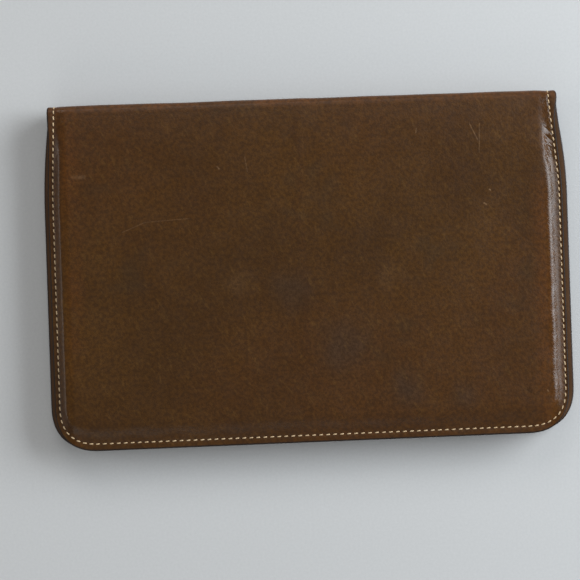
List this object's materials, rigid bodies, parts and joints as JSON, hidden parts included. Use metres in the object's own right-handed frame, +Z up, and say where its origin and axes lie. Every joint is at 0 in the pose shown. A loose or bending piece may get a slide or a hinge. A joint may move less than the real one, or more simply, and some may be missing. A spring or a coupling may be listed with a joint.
{
  "type": "travel document organizer",
  "caption": "Padded leather folio that opens along its long side, with card slots, passport, ticket and zipped pockets for travel papers.",
  "frame": {"origin": "centre of the closed folio's footprint, on the surface that its back leaf lies on", "axes": "+X along the fold, +Y towards the fold, +Z up through the front leaf"},
  "size_m": [0.2304, 0.15, 0.016],
  "materials": {
    "cover_leather": "waxed pull-up cowhide, chestnut brown, satin",
    "lining_leather": "thin tan calf lining, matte",
    "pocket_leather": "thin tan calf, satin",
    "pad_foam": "open-cell foam, matte",
    "stiffener_board": "grey-brown paperboard, matte",
    "thread": "twisted ecru thread, waxed",
    "zip_tape": "woven dark brown tape",
    "clear_vinyl": "clear flexible vinyl, glossy",
    "brass": "polished, lightly worn brass"
  },
  "bodies": {
    "back": {"back_cover": "cover_leather", "back_pad": "pad_foam", "back_board": "stiffener_board", "back_lining": "lining_leather", "back_stitching": "thread", "card_slot_1": "pocket_leather", "card_slot_2": "pocket_leather", "card_slot_3": "pocket_leather", "card_slot_4": "pocket_leather", "card_pocket": "pocket_leather", "passport_pocket": "pocket_leather", "id_window": "clear_vinyl"},
    "spine": {"spine_cover": "cover_leather", "spine_board": "stiffener_board", "spine_lining": "lining_leather"},
    "front": {"front_cover": "cover_leather", "front_pad": "pad_foam", "front_board": "stiffener_board", "front_lining": "lining_leather", "front_stitching": "thread", "ticket_pocket": "pocket_leather", "zip_pocket": "pocket_leather", "zip_tape_upper": "zip_tape", "zip_tape_lower": "zip_tape", "zip_chain": "brass", "zip_stop_left": "brass", "zip_stop_right": "brass", "snap_cap_left": "brass", "snap_socket_left": "brass", "snap_stud_left": "brass", "snap_post_left": "brass", "snap_cap_right": "brass", "snap_socket_right": "brass", "snap_stud_right": "brass", "snap_post_right": "brass"},
    "slider": {"zip_slider": "brass"},
    "pull": {"zip_pull": "brass"}
  },
  "joints": [
    {"name": "back_crease", "type": "hinge", "parent": "back", "child": "spine", "pos_m": [0, 0.07325, 0.00325], "axis": [-1, 0, 0], "range_deg": [0, 90]},
    {"name": "front_crease", "type": "hinge", "parent": "spine", "child": "front", "pos_m": [0, 0.07325, 0.01275], "axis": [-1, 0, 0], "range_deg": [0, 90]},
    {"name": "zip_travel", "type": "slide", "parent": "front", "child": "slider", "axis": [-1, 0, 0], "range_m": [0, 0.156]},
    {"name": "pull_swivel", "type": "hinge", "parent": "slider", "child": "pull", "pos_m": [0.078, 0.048, 0.0073], "axis": [0, 0, 1], "range_deg": [-35, 35]}
  ],
  "couplings": [
    {"joint": "front_crease", "follows": "back_crease", "ratio": 1}
  ]
}
